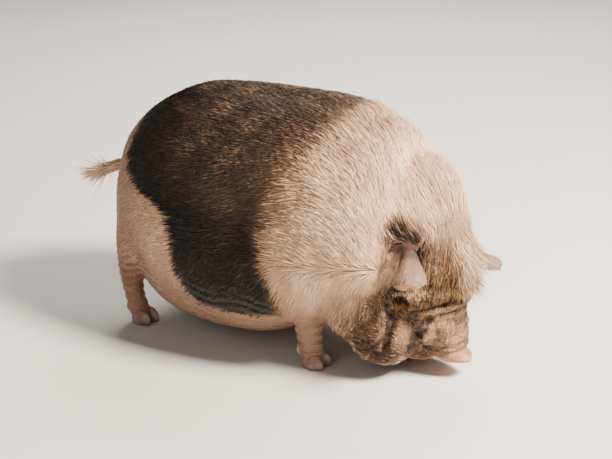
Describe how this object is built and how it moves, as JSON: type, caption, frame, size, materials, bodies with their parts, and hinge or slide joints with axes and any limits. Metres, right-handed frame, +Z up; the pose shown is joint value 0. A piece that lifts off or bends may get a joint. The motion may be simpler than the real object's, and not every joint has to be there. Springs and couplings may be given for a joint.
{
  "type": "pot bellied pig",
  "caption": "Life-size grazing pot bellied pig: barrel body with a belly near the ground, short legs, lowered wrinkled head, bristly forelock, ruff and tail tassel.",
  "frame": {"origin": "on the ground under the middle of the pig's bounding box", "axes": "+X the way the pig faces, +Y towards the pig's left, +Z up"},
  "size_m": [1.0418, 0.5056, 0.5593],
  "materials": {
    "back_coat": "coarse bristles, matt",
    "ruff_coat": "long coarse bristles, matt",
    "face_coat": "bristly skin, matt",
    "snout_skin": "moist bare skin, satin",
    "tail_hair": "coarse hair, matt",
    "ear_skin": "thin skin with short hair, satin",
    "leg_skin": "wrinkled skin, matt",
    "eye": "wet, glossy",
    "claw_horn": "worn horn, satin"
  },
  "bodies": {
    "root": {"head": "face_coat", "left_ear": "ear_skin", "left_eye": "eye", "left_fore_inner_claw": "claw_horn", "left_fore_inner_dewclaw": "claw_horn", "left_fore_leg": "leg_skin", "left_fore_outer_claw": "claw_horn", "left_fore_outer_dewclaw": "claw_horn", "left_hind_inner_claw": "claw_horn", "left_hind_inner_dewclaw": "claw_horn", "left_hind_leg": "leg_skin", "left_hind_outer_claw": "claw_horn", "left_hind_outer_dewclaw": "claw_horn", "neck": "ruff_coat", "right_ear": "ear_skin", "right_eye": "eye", "right_fore_inner_claw": "claw_horn", "right_fore_inner_dewclaw": "claw_horn", "right_fore_leg": "leg_skin", "right_fore_outer_claw": "claw_horn", "right_fore_outer_dewclaw": "claw_horn", "right_hind_inner_claw": "claw_horn", "right_hind_inner_dewclaw": "claw_horn", "right_hind_leg": "leg_skin", "right_hind_outer_claw": "claw_horn", "right_hind_outer_dewclaw": "claw_horn", "snout": "snout_skin", "tail": "tail_hair", "torso": "back_coat"}
  },
  "joints": []
}
